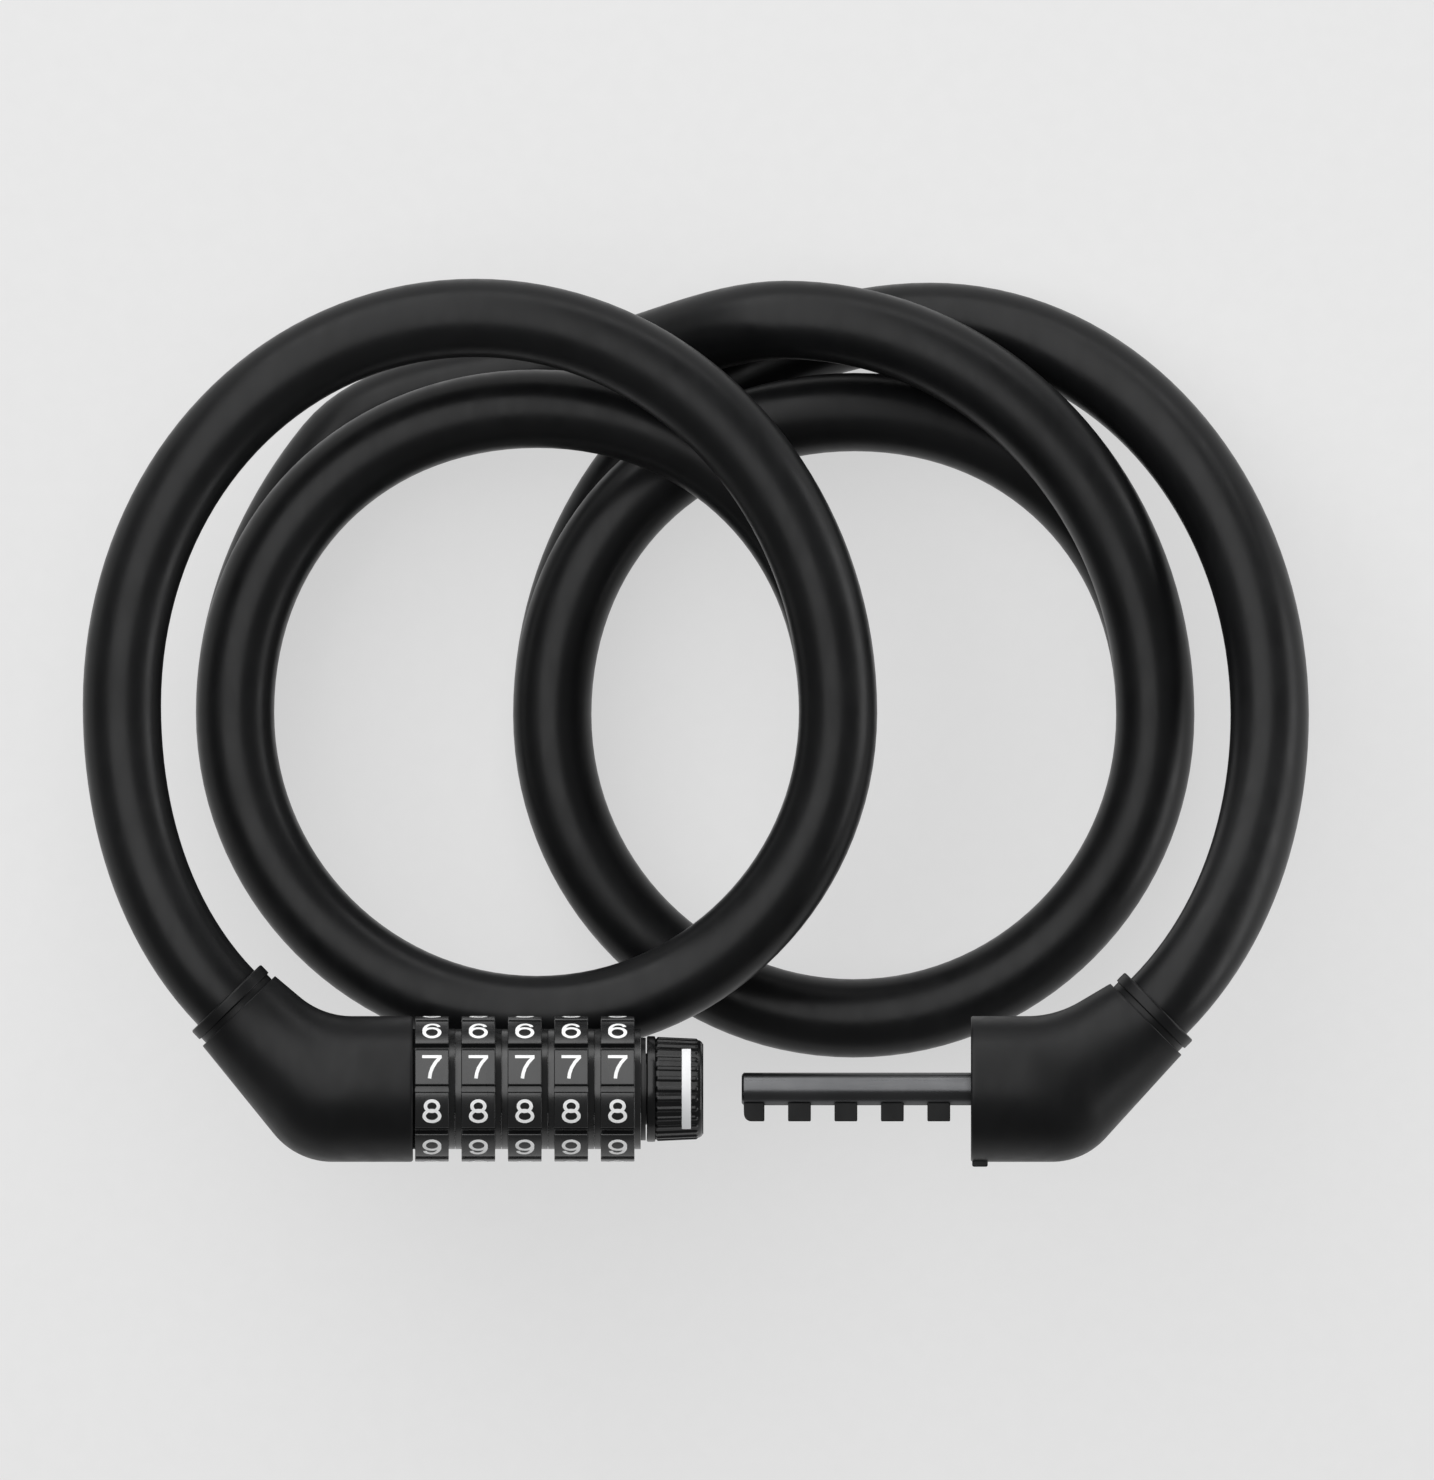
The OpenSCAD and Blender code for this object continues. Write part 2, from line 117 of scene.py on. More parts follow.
# ---- Meshes ----------------------------------------------------------------------------
def add_mesh(name, points, faces, material, body, sharp=32, flat=True):
    """A shaded piece from points and faces, on a body; flat keeps wide faces flat beside bevels."""
    mesh = bpy.data.meshes.new(name)
    mesh.from_pydata([tuple(p) for p in points], [], faces)
    mesh.validate()
    mesh.shade_smooth()
    mesh.set_sharp_from_angle(angle=radians(sharp))
    piece = bpy.data.objects.new(name, mesh)
    scene.collection.objects.link(piece)
    if flat:
        normals = piece.modifiers.new("normals", "WEIGHTED_NORMAL")
        normals.keep_sharp = True
    mesh.materials.append(material)
    if body:
        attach(piece, body)
    return piece


def skin_faces(rows, columns, close_rows):
    """Quads over a grid of rows, each row a closed ring of columns."""
    faces = []
    for i in range(rows if close_rows else rows - 1):
        for j in range(columns):
            a, b = i * columns + j, i * columns + (j + 1) % columns
            c, d = (b + columns) % (rows * columns), (a + columns) % (rows * columns)
            faces.append((a, b, c, d))
    return faces


def skin(name, rings, material, body, closed=False, sharp=32, flat=True):
    """A piece over rings of points; closed joins the last to the first, else both get a cap."""
    rows, columns = len(rings), len(rings[0])
    faces = skin_faces(rows, columns, closed)
    if not closed:
        faces.append(list(range(columns))[::-1])
        faces.append([(rows - 1) * columns + j for j in range(columns)])
    return add_mesh(name, [p for ring in rings for p in ring], faces, material, body, sharp, flat)


def circle(centre, ahead, radius, columns):
    """A ring round ahead, which is never upright; it turns from the side towards +Z."""
    across = ahead.cross(Vector((0, 0, 1))).normalized()
    up = across.cross(ahead).normalized()
    turns = [2 * pi * j / columns for j in range(columns)]
    return [centre + radius * (cos(t) * across + sin(t) * up) for t in turns]


def rounded(corners, steps=4):
    """A closed outline with each corner (x, y, radius) rounded off."""
    outline = []
    for i, (x, y, radius) in enumerate(corners):
        here = Vector((x, y))
        before = Vector(corners[i - 1][:2])
        after = Vector(corners[(i + 1) % len(corners)][:2])
        if radius <= 0:
            outline.append(here)
            continue
        back, on = (before - here), (after - here)
        reach = min(radius, 0.49 * back.length, 0.49 * on.length)
        p, q = here + reach * back.normalized(), here + reach * on.normalized()
        for k in range(steps + 1):
            t = k / steps
            outline.append((1 - t) ** 2 * p + 2 * t * (1 - t) * here + t ** 2 * q)
    return outline


def barrel_point(x, r, angle=0.0):
    """A point round the barrel's axis: angle 0 faces up, and it grows towards the reading side."""
    return Vector((x, AXIS_Y - r * sin(angle), AXIS_Z + r * cos(angle)))


def ease(t):
    """A smooth step from 0 to 1."""
    t = min(max(t, 0.0), 1.0)
    return t * t * (3 - 2 * t)


# ---- Materials -------------------------------------------------------------------------
def new_material(name, colour, roughness, metallic=0.0, **sockets):
    """A Principled material; the rest of its sockets are set by name, with _ for a space."""
    material = bpy.data.materials.new(name)
    material.use_nodes = True
    shader = material.node_tree.nodes["Principled BSDF"]
    shader.inputs["Base Color"].default_value = (*colour, 1)
    shader.inputs["Roughness"].default_value = roughness
    shader.inputs["Metallic"].default_value = metallic
    for socket, value in sockets.items():
        shader.inputs[socket.replace("_", " ")].default_value = value
    return material


def add_noise(material, scale, detail, stretch=(1, 1, 1)):
    """A noise in the object's own space; scale is in cycles a metre."""
    nodes, links = material.node_tree.nodes, material.node_tree.links
    place = nodes.new("ShaderNodeTexCoord")
    mapping = nodes.new("ShaderNodeMapping")
    mapping.inputs["Scale"].default_value = stretch
    noise = nodes.new("ShaderNodeTexNoise")
    noise.inputs["Scale"].default_value = scale
    noise.inputs["Detail"].default_value = detail
    links.new(place.outputs["Object"], mapping.inputs["Vector"])
    links.new(mapping.outputs["Vector"], noise.inputs["Vector"])
    return noise


def ramp(material, source, low, high):
    """Maps the middle of a noise's span to a range of values or colours."""
    start, stop = 0.3, 0.7
    nodes, links = material.node_tree.nodes, material.node_tree.links
    if isinstance(low, tuple):
        node = nodes.new("ShaderNodeValToRGB")
        node.color_ramp.elements[0].position = start
        node.color_ramp.elements[0].color = (*low, 1)
        node.color_ramp.elements[1].position = stop
        node.color_ramp.elements[1].color = (*high, 1)
        links.new(source, node.inputs["Fac"])
        return node.outputs["Color"]
    node = nodes.new("ShaderNodeMapRange")
    node.inputs["From Min"].default_value = start
    node.inputs["From Max"].default_value = stop
    node.inputs["To Min"].default_value = low
    node.inputs["To Max"].default_value = high
    links.new(source, node.inputs["Value"])
    return node.outputs["Result"]


def feed(material, source, socket):
    shader = material.node_tree.nodes["Principled BSDF"]
    material.node_tree.links.new(source, shader.inputs[socket])


def add_bump(material, heights, depths, strengths):
    """Chains bumps from several height outputs into the shader."""
    nodes, links = material.node_tree.nodes, material.node_tree.links
    normal = None
    for source, depth, amount in zip(heights, depths, strengths):
        bump = nodes.new("ShaderNodeBump")
        bump.inputs["Distance"].default_value = depth
        bump.inputs["Strength"].default_value = amount
        links.new(source, bump.inputs["Height"])
        if normal:
            links.new(normal, bump.inputs["Normal"])
        normal = bump.outputs["Normal"]
    feed(material, normal, "Normal")


def moulded(name, dark, light, smooth, rough, grain, bump, shine=0.5):
    """Moulded plastic: fine grain, soft variation in tone and gloss."""
    material = new_material(name, dark, (smooth + rough) / 2, Specular_IOR_Level=shine)
    cloud = add_noise(material, 90, 3)
    fine = add_noise(material, grain, 3)
    smear = add_noise(material, 420, 5, (1, 0.35, 1))
    feed(material, ramp(material, cloud.outputs["Fac"], dark, light), "Base Color")
    feed(material, ramp(material, smear.outputs["Fac"], smooth, rough), "Roughness")
    heights = [fine.outputs["Fac"], smear.outputs["Fac"]]
    add_bump(material, heights, [0.02 * MM, 0.04 * MM], [bump, bump * 0.5])
    return material


def metal(name, dark, light, smooth, rough, stretch):
    """Machined metal with fine drawn streaks along one direction."""
    material = new_material(name, dark, (smooth + rough) / 2, 1.0)
    streak = add_noise(material, 900, 4, stretch)
    cloud = add_noise(material, 160, 3)
    feed(material, ramp(material, cloud.outputs["Fac"], dark, light), "Base Color")
    feed(material, ramp(material, streak.outputs["Fac"], smooth, rough), "Roughness")
    add_bump(material, [streak.outputs["Fac"]], [0.01 * MM], [0.15])
    return material


def painted_digits():
    """White print: a little uneven, with tiny thin spots."""
    material = new_material("digit_white", (0.86, 0.87, 0.87), 0.45)
    speck = add_noise(material, 5200, 2)
    cloud = add_noise(material, 700, 3)
    pale, white = (0.80, 0.81, 0.81), (0.90, 0.90, 0.90)
    feed(material, ramp(material, cloud.outputs["Fac"], pale, white), "Base Color")
    feed(material, ramp(material, speck.outputs["Fac"], 0.38, 0.55), "Roughness")
    add_bump(material, [speck.outputs["Fac"]], [0.01 * MM], [0.2])
    return material


# Name, darkest and lightest colour, smoothest and roughest, then grain, bump and shine.
VINYL = moulded(
    "cable_vinyl", (0.0042, 0.0043, 0.0046), (0.0062, 0.0064, 0.0068),
    0.30, 0.40, 1900, 0.14, 0.2,
)
HOUSING = moulded(
    "housing_black", (0.0042, 0.0043, 0.0046), (0.0058, 0.0060, 0.0064),
    0.36, 0.46, 3200, 0.10, 0.2,
)
COLLAR = moulded(
    "collar_black", (0.0045, 0.0046, 0.0049), (0.0062, 0.0064, 0.0068),
    0.32, 0.42, 3000, 0.10, 0.2,
)
DIAL = moulded(
    "dial_black", (0.0070, 0.0072, 0.0075), (0.0095, 0.0098, 0.0102),
    0.22, 0.30, 3600, 0.08, 0.55,
)
KNOB = moulded(
    "knob_black", (0.0034, 0.0035, 0.0037), (0.0048, 0.0050, 0.0052),
    0.18, 0.28, 3600, 0.06, 0.32,
)
BUSH = moulded(
    "bush_black", (0.0050, 0.0051, 0.0054), (0.0070, 0.0072, 0.0076),
    0.30, 0.40, 3200, 0.08, 0.4,
)
# Painted shade: the bolt's teeth get a darker black than the rod, which stands in for the shade on
# the bolt's lower side.
TEETH_SHADE_BLACK = moulded(
    "bolt_teeth_shade_black", (0.0030, 0.0031, 0.0033), (0.0045, 0.0047, 0.0050),
    0.28, 0.40, 2800, 0.10, 0.15,
)
MARK = moulded("mark_pale", (0.72, 0.73, 0.74), (0.78, 0.78, 0.79), 0.35, 0.45, 4000, 0.05)
DIGITS = painted_digits()
# Name, darkest and lightest colour, smoothest and roughest, then the streaks' stretch.
BLACK_NICKEL = metal(
    "bolt_black_nickel", (0.078, 0.079, 0.082), (0.094, 0.095, 0.098),
    0.24, 0.34, (0.08, 1, 1),
)
STEEL = metal("steel_plain", (0.42, 0.42, 0.43), (0.52, 0.52, 0.53), 0.28, 0.42, (0.1, 1, 1))
BRASS = metal("brass_plain", (0.55, 0.38, 0.17), (0.66, 0.48, 0.22), 0.28, 0.42, (1, 1, 0.1))


# ---- Cable -----------------------------------------------------------------------------
# Stations of the route: x, y, heading, height, fullness of the arc that follows.
lock_in, lock_out = neck_point(LOCK_NECK, -CABLE_DEPTH), neck_point(LOCK_NECK, COLLAR_REACH)
bolt_in, bolt_out = neck_point(BOLT_NECK, -CABLE_DEPTH), neck_point(BOLT_NECK, COLLAR_REACH)
ROUTE = [
    (lock_in.x, lock_in.y, 134, AXIS_Z, 1),
    (lock_out.x, lock_out.y, 134, AXIS_Z, 1),
    (-0.0877, 0.0027, 90, 0.048, 1.02),
    (-0.0337, 0.0619, 0, 0.0455, 1),
    (0.0218, 0.0016, -90, 0.046, 1),
    (-0.0242, -0.0447, -180, 0.0415, 1),
    (-0.0704, 0.0016, -270, 0.036, 1.05),
    (-0.0242, 0.048, -360, 0.034, 1.05),
    (0.0218, 0.0016, -450, 0.0335, 1),
    (-0.0242, -0.0447, -540, 0.0275, 1),
    (-0.0704, 0.0016, -630, 0.0075, 1),
    (-0.0554, 0.0417, -669, 0.0075, 1),
    (-0.0092, 0.0561, -702, 0.0125, 1),
    (0.0137, 0.0616, -720, 0.021, 1),
    (0.0703, 0.0012, -810, 0.023, 1),
    (0.0242, -0.0452, -900, 0.0185, 1),
    (-0.0219, 0.0012, -990, 0.0195, 1.05),
    (0.0244, 0.0475, -1080, 0.015, 1.05),
    (0.0703, 0.0012, -1170, 0.007, 1),
    (0.0242, -0.0452, -1260, 0.006, 1),
    (-0.0219, 0.0012, -1350, 0.0065, 1),
    (0.0359, 0.0613, -1440, 0.0075, 1),
    (0.0878, 0.0012, -1530, 0.035, 1),
    (bolt_out.x, bolt_out.y, -1575, AXIS_Z, 1),
    (bolt_in.x, bolt_in.y, -1575, AXIS_Z, 1),
]
TAIL_STATION = 21         # where the coiled stretch ends and the free tail starts
RING_GAP = 2.2 * MM
CABLE_SIDES = 40


def handle_share(turn):
    """How long the handles of a cubic are, for its reach, to make an arc of that many degrees."""
    return 1 / 3 if turn < 1 else 4 / 3 * tan(radians(turn / 4)) / sin(radians(turn))


def plan_handles(a, b):
    """Control points of the cubic arc in the plan from station a to station b."""
    p, q = Vector(a[:2]), Vector(b[:2])
    leave, arrive = heading(a[2]).to_2d(), heading(b[2]).to_2d()
    share = handle_share(abs(b[2] - a[2])) * a[4]
    return p, p + share * (q - p).dot(leave) * leave, q - share * (q - p).dot(arrive) * arrive, q


def plan(a, b, t):
    """A point of the arc in the plan from station a to station b."""
    p, u, v, q = plan_handles(a, b)
    s = 1 - t
    return s ** 3 * p + 3 * s ** 2 * t * u + 3 * s * t ** 2 * v + t ** 3 * q


def climb(i, before):
    """How fast the height changes at station i, on the leg before it or after it.

    The cable is as steep on either side of a station, and level where it leaves the housings.
    """
    if i < 2 or i > len(ROUTE) - 3:
        return 0
    _, _, inward, here = plan_handles(ROUTE[i - 1], ROUTE[i])
    _, outward, _, _ = plan_handles(ROUTE[i], ROUTE[i + 1])
    pace_in, pace_out = (here - inward).length, (outward - here).length
    rise = ROUTE[i + 1][3] - ROUTE[i - 1][3]
    return rise * (pace_in if before else pace_out) / (pace_in + pace_out)


def height(i, t):
    """Height of the cable's middle at t on leg i; it never goes into the floor."""
    z = (2 * t ** 3 - 3 * t ** 2 + 1) * ROUTE[i][3] + (t ** 3 - 2 * t ** 2 + t) * climb(i, False)
    z += (3 * t ** 2 - 2 * t ** 3) * ROUTE[i + 1][3] + (t ** 3 - t ** 2) * climb(i + 1, True)
    return max(z, CABLE_D / 2)


def cable_line():
    """Points along the whole route, and the number of the one at the tail's station."""
    line, tail = [], 0
    for i in range(len(ROUTE) - 1):
        if i == TAIL_STATION:
            tail = len(line)
        chord = (Vector(ROUTE[i + 1][:2]) - Vector(ROUTE[i][:2])).length
        count = ceil(chord / RING_GAP)
        for j in range(count):
            line.append((*plan(ROUTE[i], ROUTE[i + 1], j / count), height(i, j / count)))
    line.append((*plan(ROUTE[-2], ROUTE[-1], 1), AXIS_Z))
    return [Vector(p) for p in line], tail


def cable_piece(name, line, first, last):
    """A tube along the points from first to last of the whole line."""
    rings = []
    for i in range(first, last + 1):
        ahead = line[min(i + 1, len(line) - 1)] - line[max(i - 1, 0)]
        rings.append(circle(line[i], ahead.normalized(), CABLE_D / 2, CABLE_SIDES))
    return skin(name, rings, VINYL, None, sharp=60, flat=False)


line, tail_start = cable_line()
cable = cable_piece("cable_cover", line, 0, tail_start)
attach(cable, "root")
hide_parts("cable")
tail = cable_piece("cable_tail_cover", line, tail_start, len(line) - 1)
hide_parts("cable_tail")
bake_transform(tail)


# ---- Housings --------------------------------------------------------------------------
def edge_point(start, corner, end, radius, t):
    """A point of the edge from start past the corner to end, with an arc across the corner."""
    u, v = (corner - start).normalized(), (end - corner).normalized()
    turn = u.angle(v)
    side = (v - v.dot(u) * u).normalized()
    cut = radius * tan(turn / 2)
    first, arc = (corner - start).length - cut, radius * turn
    whole = first + arc + (end - corner).length - cut
    along = t * whole
    if along <= first:
        return start + along * u
    if along <= first + arc:
        b = (along - first) / radius
        return start + first * u + radius * (sin(b) * u + (1 - cos(b)) * side)
    return end - (whole - along) * v


ELBOW_STEPS = 40


def elbow_rings(neck):
    """Rings of an elbow's outside, from its straight barrel to just short of the neck's end."""
    side = neck["side"]
    out = (NECK_R * heading(neck["heading"] + side * 90)).to_2d()
    end = neck_point(neck, 0).to_2d()
    rings = []
    for i in range(ELBOW_STEPS):
        t = i / ELBOW_STEPS
        edges = []
        for edge, rim in ((neck["inner"], 1), (neck["outer"], -1)):
            y = AXIS_Y + rim * HOUSING_R
            start, corner = Vector((neck["start"], y)), Vector((edge[0], y))
            edges.append(edge_point(start, corner, end + rim * out, edge[1], t))
        middle, half = (edges[0] + edges[1]) / 2, side * (edges[1] - edges[0]) / 2
        high = HOUSING_R + (NECK_R - HOUSING_R) * ease(t)
        turns = [2 * pi * j / SIDES for j in range(SIDES)]
        rings.append([Vector((*(middle + cos(a) * half), AXIS_Z + sin(a) * high)) for a in turns])
    return rings


def neck_end_rings(neck):
    """Rings round the rim of the neck and into the hollow that the collar's sleeve fills.

    The profile is in mm: how far out of the neck, and the radius there.
    """
    ahead = heading(neck["heading"])
    profile = [
        (-0.12, 7.72), (-0.03, 7.66), (0, 7.56), (0, 7.1), (-0.1, 6.98),
        (-4, 6.98), (-4, 6.15), (-5.5, 6.15),
    ]
    return [circle(neck_point(neck, out * MM), ahead, r * MM, SIDES) for out, r in profile]


def housing(name, neck, face_x, mouth):
    """An elbow housing; mouth lists (depth, radius) in mm from the rim of its open end inwards."""
    ahead = Vector((neck["side"], 0, 0))
    face = Vector((face_x, AXIS_Y, AXIS_Z))
    inwards = reversed(mouth)
    rings = [circle(face + depth * MM * ahead, ahead, r * MM, SIDES) for depth, r in inwards]
    rings += elbow_rings(neck) + neck_end_rings(neck)
    return skin(name, rings, HOUSING, None, sharp=30)


RIM = [(0.75, 11.15), (0.45, 11.15), (0.22, 11.11), (0.07, 11.0), (0, 10.85)]
LOCK_MOUTH = RIM + [(0, 9.6), (0.05, 9.45), (0.2, 9.4), (0.82, 9.4), (0.82, 3.95), (5, 3.95)]
BOLT_MOUTH = RIM + [
    (0, 9.7), (0.06, 9.5), (0.25, 9.4), (10.5, 9.4),
    (10.6, 9.3), (10.6, 2.7), (10.8, 2.56), (13, 2.56),
]
lock_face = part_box("lock_housing")[1].x
bolt_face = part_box("bolt_housing")[0].x
lock_shell = housing("lock_housing_shell", LOCK_NECK, lock_face, LOCK_MOUTH)
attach(lock_shell, "root")
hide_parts("lock_housing")
bolt_shell = housing("bolt_housing_shell", BOLT_NECK, bolt_face, BOLT_MOUTH)
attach(bolt_shell, "bolt_end")
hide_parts("bolt_housing")


def index_lug():
    """The small lug under the bolt housing's face, which points at the code; its shape is in mm."""
    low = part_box("bolt_housing")[0].y
    near, middle, far, rise, corner, root = 0.2, 1.4, 2.6, 1.2, 0.35, -0.3
    outline = rounded([(near, 0, 0), (near, rise, corner), (far, rise, corner), (far, 0, 0)], 5)
    bevelled = ((-1.5, 0.18), (-1.4, 0.05), (-1.25, 0), (1.25, 0), (1.4, 0.05), (1.5, 0.18))
    rings = []
    for z, shrink in bevelled:
        ring = []
        for p in outline:
            x = bolt_face + (middle + (p.x - middle) * (1 - shrink / rise)) * MM
            y = low + (rise - max(p.y - shrink, root)) * MM
            ring.append(Vector((x, y, AXIS_Z + z * MM)))
        rings.append(ring)
    piece = skin("bolt_housing_lug", rings, HOUSING, "bolt_end")


index_lug()


def collar(name, neck, body, node):
    """The ring round the cable at a housing's neck: a sleeve, a groove and a rounded flange.

    The corners are in mm: how far out of the neck, the radius there, and the rounding.
    """
    corners = [
        (-4, 6.12, 0), (-4, 6.9, 0.1), (0.02, 6.9, 0), (0.02, 7.0, 0), (1.0, 7.0, 0.12),
        (1.0, 7.35, 0.2), (2.8, 7.35, 0.35), (2.8, 6.3, 0.3), (2.2, 6.08, 0.1),
    ]
    ahead = heading(neck["heading"])
    outline = rounded(corners)
    rings = [circle(neck_point(neck, p.x * MM), ahead, p.y * MM, SIDES) for p in outline]
    piece = skin(name, rings, COLLAR, body, closed=True, sharp=35)
    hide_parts(node)


collar("lock_collar_ring", LOCK_NECK, "root", "lock_cable_collar")
collar("bolt_collar_ring", BOLT_NECK, "bolt_end", "bolt_cable_collar")


# ---- Dials -----------------------------------------------------------------------------
def groove_samples():
    """Over one face's turn: the angle from a groove's middle, and the rise from its floor, to 1."""
    half = GROOVE_W / 2 / DIAL_R
    mm = MM / DIAL_R      # the angle that 1 mm of the dial's round takes
    side = [
        (half - 0.14 * mm, 0.0), (half - 0.06 * mm, 0.03), (half - 0.02 * mm, 0.12), (half, 0.82),
        (half + 0.05 * mm, 0.92), (half + 0.13 * mm, 0.98), (half + 0.24 * mm, 1.0),
    ]
    edge = half + 0.24 * mm
    face = [(edge + (FACE_TURN / 2 - edge) * k / 6, 1.0) for k in range(1, 7)]
    right = [(0.0, 0.0)] + side + face
    left = [(FACE_TURN - a, h) for a, h in reversed(right[1:-1])]
    return right + left


DIAL_HALF = 3.525         # in mm: half of a dial's thickness
LIP = 0.045               # in mm: a low lip towards the neighbour, so no light shows between them


def dial_profile():
    """A dial's outline from its middle, in mm: (x, radius in a groove, radius on a face)."""
    half, rim = DIAL_HALF, FACE_W / 2 / MM
    shoulder, face = SHOULDER_R / MM, DIAL_R / MM
    floor = face - GROOVE_DEPTH / MM
    bore = DIAL_BORE_R / MM
    side = [
        (-half, shoulder - 0.03), (-half + 0.01, shoulder - 0.01), (-half + 0.03, shoulder),
        (-rim - 0.06, shoulder), (-rim - 0.02, shoulder + 0.02), (-rim, shoulder + 0.06),
    ]
    outline = [(x, r, r) for x, r in side]
    outline += [
        (-rim, floor, face - 0.1), (-rim + 0.03, floor, face - 0.035),
        (-rim + 0.08, floor, face - 0.008), (-rim + 0.14, floor, face), (0.0, floor, face),
    ]
    mirror = [(-x, a, b) for x, a, b in reversed(outline[:-1])]
    lip = [(-half - LIP, bore + 0.1), (-half - LIP, shoulder - 0.35), (-half, shoulder - 0.35)]
    inside = [(half - 0.1, bore, bore), (-half + 0.1, bore, bore)]
    return [(x, r, r) for x, r in lip] + outline + mirror + inside


def dial_piece(k):
    low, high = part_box(f"dial_{k}")
    middle = (low.x + high.x) / 2
    samples = groove_samples()
    rings = []
    for x, floor, face in dial_profile():
        ring = []
        for i in range(FACES):
            for angle, rise in samples:
                r = (floor + (face - floor) * rise) * MM
                ring.append(barrel_point(middle + x * MM, r, i * FACE_TURN + angle))
        rings.append(ring)
    piece = skin(f"dial_{k}_ring", rings, DIAL, f"dial_{k}", closed=True, sharp=50)
    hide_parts(f"dial_{k}")


DIGIT_H = 3.75 * MM       # of a flat-topped digit
DIGIT_STRETCH = 1.07      # across
STROKE = 0.066            # half a stroke's width, as a share of the height
PRINT_T = 0.03 * MM
PRINT_STEP = 0.15         # how much higher each stroke lies, as a share of that
READ_7 = -FACE_TURN / 2   # where the 7 stands; the digits grow towards the reading side


def arc(x, y, rx, ry, start, stop, steps=16):
    """Points on an ellipse round (x, y), from one angle to another in degrees."""
    turns = [radians(start + (stop - start) * i / steps) for i in range(steps + 1)]
    return [(x + rx * cos(t), y + ry * sin(t)) for t in turns]


def loop(x, y, rx, ry):
    """A closed ellipse: its last point is its first."""
    return arc(x, y, rx, ry, 0, 360, 32)


# Each digit is a few strokes along their middle lines; the digit is 1 high, round its own middle.
SIX = [
    loop(0, -0.15, 0.295, 0.290),
    arc(0.02, -0.05, 0.315, 0.49, 182, 90) + arc(0.02, 0.2, 0.245, 0.24, 85, 8, 8),
]
DIGIT_STROKES = [
    [loop(0, 0, 0.295, 0.444)],
    [[(-0.17, 0.26), (0.05, 0.41), (0.06, -0.5)]],
    [
        arc(0, 0.18, 0.285, 0.262, 172, -22) + [(0.12, -0.08), (-0.29, -0.39)],
        [(-0.33, -0.434), (0.32, -0.434)],
    ],
    [arc(-0.01, 0.217, 0.245, 0.225, 160, -75), arc(-0.01, -0.205, 0.29, 0.24, 80, -160)],
    [[(0.12, -0.5), (0.12, 0.5)], [(0.10, 0.43), (-0.27, -0.13)], [(-0.34, -0.17), (0.34, -0.17)]],
    [
        [(0.27, 0.434), (-0.20, 0.434)],
        [(-0.17, 0.44), (-0.235, 0.0)],
        arc(-0.01, -0.155, 0.29, 0.288, 140, -160, 22),
    ],
    SIX,
    [
        [(-0.37, 0.434), (0.37, 0.434)],
        [(0.33, 0.42), (0.14, 0.18), (0.01, -0.06), (-0.06, -0.28), (-0.09, -0.5)],
    ],
    [loop(0, 0.222, 0.245, 0.222), loop(0, -0.2, 0.295, 0.244)],
    [[(-x, -y) for x, y in stroke] for stroke in SIX],
]


def finer(stroke):
    """The same middle line with points close enough together to bend round a dial."""
    most = 0.06
    points = []
    for (ax, ay), (bx, by) in zip(stroke, stroke[1:]):
        steps = ceil(hypot(bx - ax, by - ay) / most)
        points += [(ax + (bx - ax) * i / steps, ay + (by - ay) * i / steps) for i in range(steps)]
    return points + [stroke[-1]]


def ribbon(stroke, lift):
    """A flat bar along a stroke as (points, faces), lift thicker than the print."""
    line = [Vector(p) for p in finer(stroke)]
    closed = (line[0] - line[-1]).length < 1e-6
    if closed:
        line.pop()
    points = []
    for i, p in enumerate(line):
        before = line[i - 1] if closed or i else p
        after = line[(i + 1) % len(line)] if closed or i + 1 < len(line) else p
        ahead = (after - before).normalized()
        across = STROKE * Vector((-ahead.y, ahead.x))
        for side, z in ((1, lift), (-1, lift), (-1, -PRINT_T), (1, -PRINT_T)):
            q = p + side * across
            points.append(Vector((q.x * DIGIT_H * DIGIT_STRETCH, q.y * DIGIT_H, z)))
    faces = skin_faces(len(line), 4, closed)
    if not closed:
        last = len(points) - 4
        faces += [(3, 2, 1, 0), (last, last + 1, last + 2, last + 3)]
    return points, faces


def glyph(strokes):
    """A flat digit as (points, faces); each stroke lies a hair above the one before."""
    points, faces = [], []
    for i, stroke in enumerate(strokes):
        first = len(points)
        bar, bar_faces = ribbon(stroke, PRINT_T * (1 + PRINT_STEP * i))
        points += bar
        faces += [[first + v for v in face] for face in bar_faces]
    return points, faces


GLYPHS = [glyph(strokes) for strokes in DIGIT_STROKES]


def digits_piece(k):
    """The ten printed digits of one dial, bent round its faces."""
    low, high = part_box(f"dial_{k}")
    middle = (low.x + high.x) / 2
    points, faces = [], []
    for digit, (shape, shape_faces) in enumerate(GLYPHS):
        base = READ_7 + ((digit - 7) % FACES) * FACE_TURN
        first = len(points)
        points += [barrel_point(middle + p.x, DIAL_R + p.z, base - p.y / DIAL_R) for p in shape]
        faces += [[first + v for v in face] for face in shape_faces]
    piece = add_mesh(f"dial_{k}_digits", points, faces, DIGITS, f"dial_{k}", 40)


for k in DIALS:
    dial_piece(k)
    digits_piece(k)


# ---- Knob ------------------------------------------------------------------------------
KNOB_RIBS = 30
RIB_H, RIB_W = 0.24 * MM, 0.95 * MM
RIB_FLANK = 0.3 * MM      # over which a rib rises
knob_low, knob_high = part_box("reset_knob")
KNOB_FLANGE = 1.25 * MM
KNOB_LEAD = 0.14 * MM     # how far the flange's face stands before the CAD model's
KNOB_R, KNOB_END_R = 7.78 * MM, 7.45 * MM


